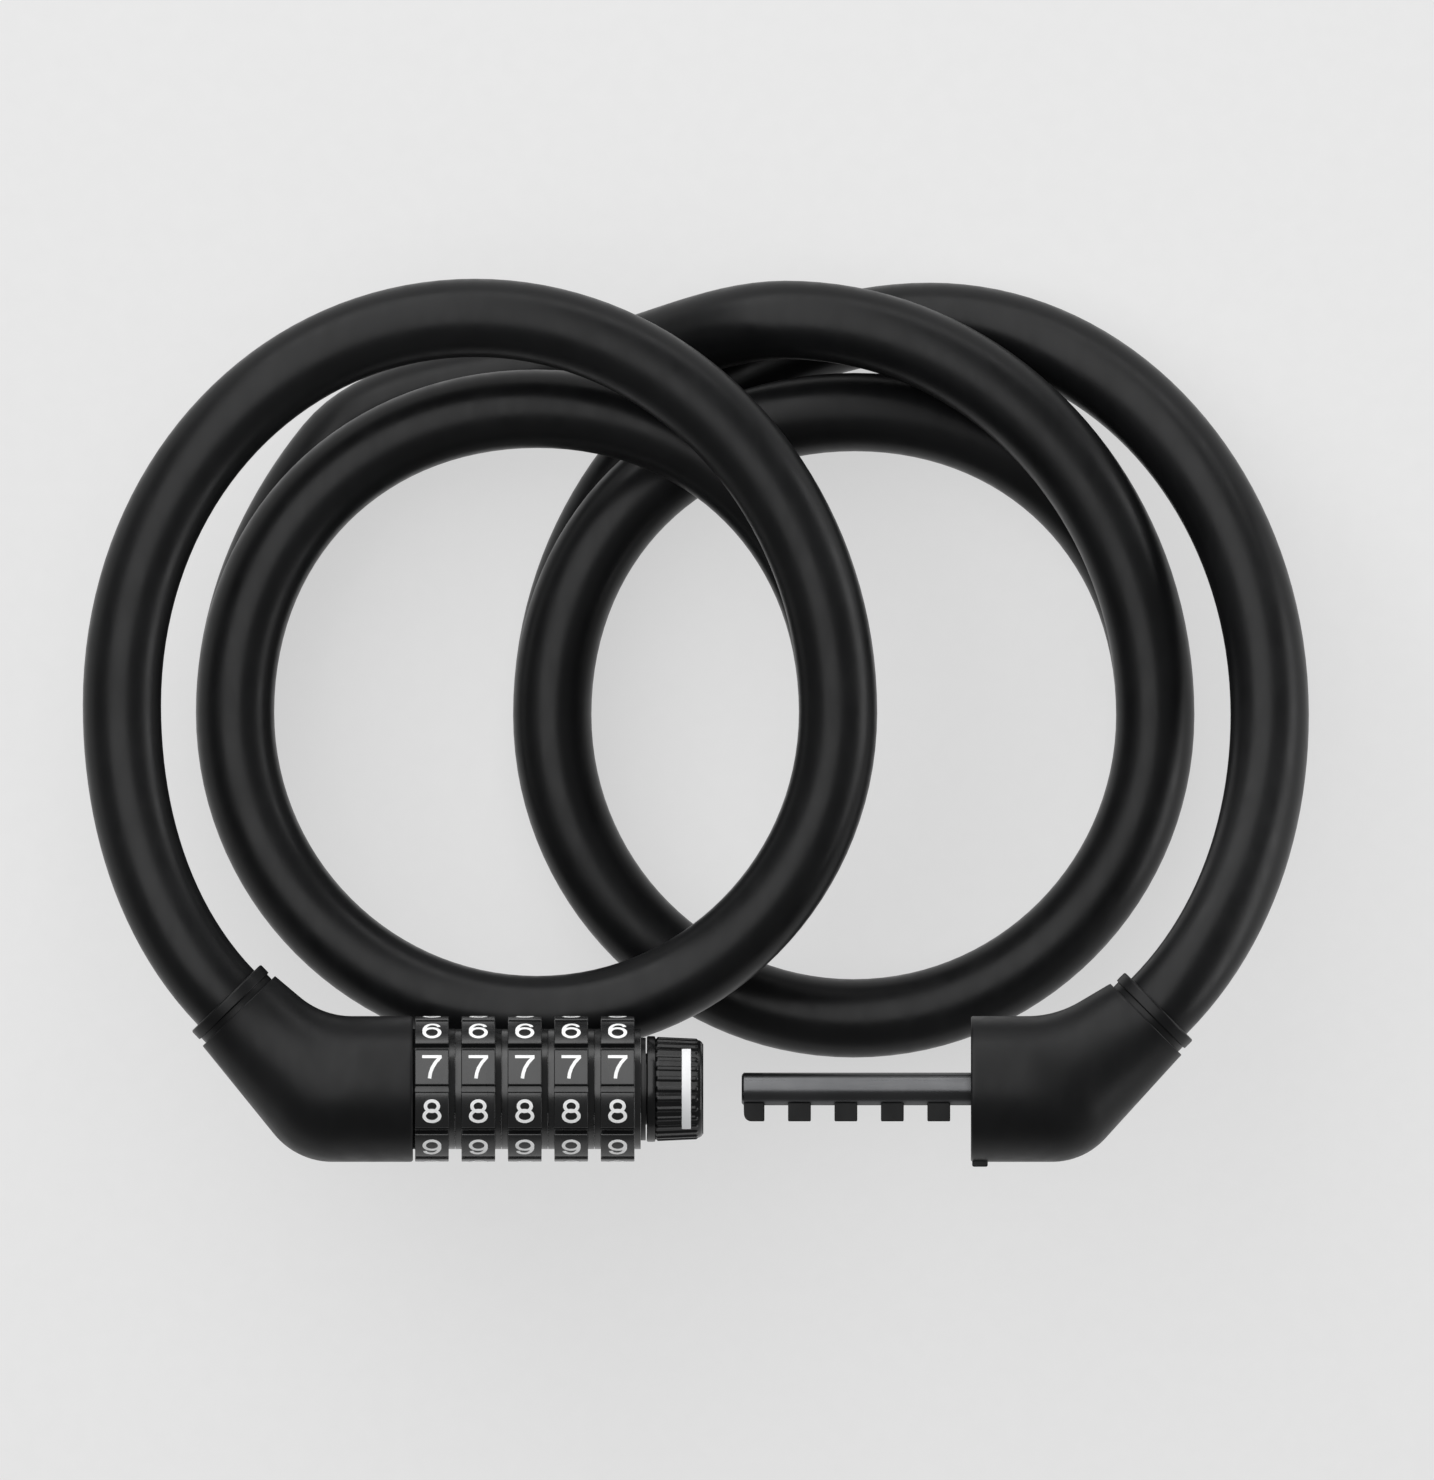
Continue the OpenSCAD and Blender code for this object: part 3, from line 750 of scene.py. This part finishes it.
def knob_base(x):
    """Radius of the knob's grip without its ribs, with a rounded outer corner."""
    start, end = knob_low.x + KNOB_FLANGE, knob_high.x
    radius = KNOB_R + (KNOB_END_R - KNOB_R) * (x - start) / (end - start)
    corner = 0.9 * MM
    past = x - (end - corner)
    if past > 0:
        radius -= corner - (corner ** 2 - min(past, corner) ** 2) ** 0.5
    return radius


def rib_rise(x, along):
    """Height of the ribs at x, at a distance along the round from the nearest rib's middle."""
    tip = knob_high.x - 0.75 * MM
    past = max(0.0, x - (tip - RIB_W / 2))
    edge = RIB_W / 2 - hypot(past, along)
    return RIB_H * ease(edge / RIB_FLANK)


def knob_piece():
    """The knob with its ribbed grip, a plain flange, and a recess behind the grip's rim."""
    columns = KNOB_RIBS * 14
    pitch = 2 * pi / KNOB_RIBS
    start, end = knob_low.x + KNOB_FLANGE, knob_high.x

    def ring(x, r, ribbed):
        points = []
        for j in range(columns):
            angle = 2 * pi * j / columns
            along = ((angle + pitch / 2) % pitch - pitch / 2) * r
            points.append(barrel_point(x, r + (rib_rise(x, along) if ribbed else 0), angle))
        return points

    bore, recess = 5.55 * MM, 6.7 * MM
    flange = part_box("reset_knob")[1].y - AXIS_Y
    front = knob_low.x - KNOB_LEAD
    plain = [
        (front, bore), (front, flange - 0.2 * MM),
        (front + 0.06 * MM, flange - 0.06 * MM), (front + 0.2 * MM, flange),
        (start - 0.35 * MM, flange), (start - 0.15 * MM, flange - 0.05 * MM),
        (start - 0.1 * MM, flange - 0.18 * MM), (start - 0.08 * MM, KNOB_R + 0.02 * MM),
        (start + 0.02 * MM, KNOB_R - 0.1 * MM),
    ]
    rings = [ring(x, r, False) for x, r in plain]
    steps = 44
    for i in range(1, steps + 1):
        t = i / steps
        x = start + (end - start) * (1 - (1 - t) ** 1.6)      # closer together at the rounded end
        rings.append(ring(x, knob_base(x), x > start + 0.15 * MM))
    inside = [
        (end, recess + 0.25 * MM), (end - 0.05 * MM, recess + 0.08 * MM),
        (end - 0.2 * MM, recess), (0.0, recess), (0.0, bore),
    ]
    rings += [ring(x, r, False) for x, r in inside]
    piece = skin("reset_knob_grip", rings, KNOB, "knob", closed=True, sharp=45)
    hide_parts("reset_knob")


def knob_mark():
    """The pale bar across the knob's ribs, let into its side."""
    low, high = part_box("knob_index_mark")
    half_turn = radians(51)
    root, top, corner = -0.6 * MM, 0.32 * MM, 0.1 * MM
    outline = rounded(
        [(low.x, root, 0), (low.x, top, corner), (high.x, top, corner), (high.x, root, 0)], 3,
    )
    base = knob_base((low.x + high.x) / 2)
    rings = []
    steps = 40
    for i in range(steps + 1):
        angle = half_turn * (2 * i / steps - 1)
        rings.append([barrel_point(p.x, base + p.y, angle) for p in outline])
    piece = skin("knob_mark_bar", rings, MARK, "knob", sharp=50)
    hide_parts("knob_index_mark")


knob_piece()
knob_mark()


def bush_flange():
    """The flange that closes the last dial's side; the carried-over bush runs on inside it."""
    low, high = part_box("end_bush")
    inner, outer = 5.3 * MM, high.y - AXIS_Y + 0.02 * MM
    start, end = low.x - 0.06 * MM, low.x + 0.65 * MM
    outline = rounded([
        (start, inner, 0), (start, outer, 0.08 * MM), (end, outer, 0.12 * MM), (end, inner, 0),
    ])
    rings = [[barrel_point(p.x, p.y, 2 * pi * j / SIDES) for j in range(SIDES)] for p in outline]
    piece = skin("end_bush_flange", rings, BUSH, "root", closed=True, sharp=40)


bush_flange()


# ---- Bolt ------------------------------------------------------------------------------
TOOTH_T, TOOTH_W, TOOTH_REACH = 2.4 * MM, 3.5 * MM, 4.95 * MM
BOLT_R = 2.5 * MM
DIAL_PITCH = 7.1 * MM
ROD_POINTS = 49           # points of a bolt's ring that belong to its rod
TOOTH_SIDE = 5            # points up each side of a tooth; its tip has three more
TOOTH_ANGLE = 0.5         # half of what a tooth takes from the rod's round, in radians
TIP_ROUND = 1.1 * MM      # of the first tooth
bolt_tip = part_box("toothed_bolt")[0].x
bolt_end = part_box("toothed_bolt")[1].x


def bolt_section(x, rod, tooth, inset):
    """A ring of the bolt at x; tooth is the tooth's reach, or 0 for none, and inset its bevel."""
    points = 2 * TOOTH_SIDE + 3
    rest = 2 * pi - 2 * TOOTH_ANGLE
    turns = [TOOTH_ANGLE + rest * j / (ROD_POINTS - 1) for j in range(ROD_POINTS)]
    if tooth:
        half, reach, corner = TOOTH_T / 2 - inset, tooth - inset, 0.15 * MM
        root = rod * 0.87     # a little inside the rod's round
        rise = (reach - corner - root) / (TOOTH_SIDE - 1)
        side = [(-half, -(root + rise * j)) for j in range(TOOTH_SIDE)]
        tip = [(-half + corner, -reach), (0, -reach), (half - corner, -reach)]
        last = side + tip + [(-u, v) for u, v in reversed(side)]
    else:
        last = []
        turns += [TOOTH_ANGLE * (2 * (j + 1) / (points + 1) - 1) for j in range(points)]
    ring = [(rod * sin(a), -rod * cos(a)) for a in turns] + last
    return [Vector((x, AXIS_Y + v, AXIS_Z + u)) for u, v in ring]


def bolt_piece():
    """The rod with its five teeth; the first tooth is rounded at the tip."""
    bevel = [(0, 0.16 * MM), (0.05 * MM, 0.06 * MM), (0.16 * MM, 0)]      # (along, inset)
    rings = [
        bolt_section(bolt_tip, BOLT_R - 0.45 * MM, 0, 0),
        bolt_section(bolt_tip + 0.05 * MM, BOLT_R - 0.3 * MM, 0, 0),
        bolt_section(bolt_tip + 0.3 * MM, BOLT_R - 0.04 * MM, 0, 0),
    ]
    for k in range(5):
        start = bolt_tip + k * DIAL_PITCH
        stop = start + TOOTH_W
        if k:
            rings.append(bolt_section(start, BOLT_R, 0, 0))
            for along, inset in bevel:
                rings.append(bolt_section(start + along, BOLT_R, TOOTH_REACH, inset))
        else:
            for i in range(7):
                a = pi / 2 * i / 6
                lift = TIP_ROUND * (1 - sin(a))
                x = start + 0.35 * MM + TIP_ROUND * (1 - cos(a))
                inset = 0.05 * MM * (1 - i / 6)
                rings.append(bolt_section(x, BOLT_R, TOOTH_REACH - lift, inset))
        for along, inset in reversed(bevel):
            rings.append(bolt_section(stop - along, BOLT_R, TOOTH_REACH, inset))
        rings.append(bolt_section(stop, BOLT_R, 0, 0))
    rings.append(bolt_section(bolt_end, BOLT_R, 0, 0))
    piece = skin("toothed_bolt_rod", rings, BLACK_NICKEL, "bolt_end", sharp=30)
    # The teeth's darker black is painted shade for the bolt's lower side.
    piece.data.materials.append(TEETH_SHADE_BLACK)
    for face in piece.data.polygons:      # the quads of a tooth are black, the rod's are not
        if len(face.vertices) == 4 and all(v % len(rings[0]) >= ROD_POINTS for v in face.vertices):
            face.material_index = 1
    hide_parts("toothed_bolt")


bolt_piece()


# ---- Carried-over parts ----------------------------------------------------------------
CARRIED = {
    STEEL: [
        "core_tube", "core_tube_pin", "click_spring", "knob_clip", "bolt_pin",
        "lock_ferrule_pin", "bolt_ferrule_pin", "lock_core_end", "bolt_core_end",
    ],
    BRASS: [f"tumbler_{k}" for k in DIALS] + ["lock_ferrule", "bolt_ferrule"],
    BUSH: ["end_bush"],
}
for material, nodes in CARRIED.items():
    for node in nodes:
        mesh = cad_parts[node].data
        mesh.materials.clear()
        mesh.materials.append(material)


# ---- Floor and light -------------------------------------------------------------------
FLOOR_GLOW = 0.58
UNDER_GLOW = 0.7          # as bright as the lit floor
UNDER_DEPTH = 0.1
SHEET_HALF = 3.0          # half of a sheet's side


def sheet(name, z, glow, shine):
    """A wide pale sheet that glows a little, so that shadows on it stay faint."""
    corners = [(x * SHEET_HALF, y * SHEET_HALF, z) for x, y in ((-1, -1), (1, -1), (1, 1), (-1, 1))]
    piece = bpy.data.objects.new(name, bpy.data.meshes.new(name))
    piece.data.from_pydata(corners, [], [(0, 1, 2, 3)])
    scene.collection.objects.link(piece)
    material = new_material(
        f"{name}_paper", (0.2, 0.2, 0.2), 0.9, Emission_Strength=glow, Specular_IOR_Level=shine,
    )
    shader = material.node_tree.nodes["Principled BSDF"]
    shader.inputs["Emission Color"].default_value = (1, 1, 1, 1)
    paper = add_noise(material, 300, 2)
    dark, light = (0.195, 0.195, 0.195), (0.205, 0.205, 0.205)
    feed(material, ramp(material, paper.outputs["Fac"], dark, light), "Base Color")
    piece.data.materials.append(material)


def floor():
    """The table, and a sheet under it that fills the foot of a view from near its height."""
    sheet("floor", 0, FLOOR_GLOW, 0.5)
    sheet("under_floor", -UNDER_DEPTH, UNDER_GLOW, 0)


LIGHT_DISTANCE = 1.2


def softbox(name, away, size, radiance):
    """A rectangular light that faces the origin from the direction away, its width along X or Y."""
    back = Vector(away).normalized()
    across = Vector((1, 0, 0)) if abs(back.x) < 0.9 else Vector((0, 1, 0))
    across = (across - across.dot(back) * back).normalized()
    data = bpy.data.lights.new(name, "AREA")
    data.shape = "RECTANGLE"
    data.size, data.size_y = size
    data.energy = pi * size[0] * size[1] * radiance
    light = bpy.data.objects.new(name, data)
    turn = Matrix((across, back.cross(across), back)).transposed().to_4x4()
    light.matrix_world = Matrix.Translation(LIGHT_DISTANCE * back) @ turn
    scene.collection.objects.link(light)


def studio():
    """A dim room, a large softbox overhead that leans back, and strips on the right and behind."""
    world = bpy.data.worlds.new("studio")
    scene.world = world
    world.use_nodes = True
    background = world.node_tree.nodes["Background"]
    background.inputs["Color"].default_value = (1, 1, 1, 1)
    background.inputs["Strength"].default_value = 0.2
    softbox("overhead", (-0.29, 0.42, 0.86), (1.15, 1.9), 2.5)
    softbox("right_strip", (1, 0, 0.2), (1.6, 0.45), 3.6)
    softbox("back_strip", (0, 1, 0.28), (1.8, 0.4), 2.6)


floor()
studio()
scene.view_settings.view_transform = "Standard"


# ---- Final update ----------------------------------------------------------------------
bpy.context.view_layer.update()
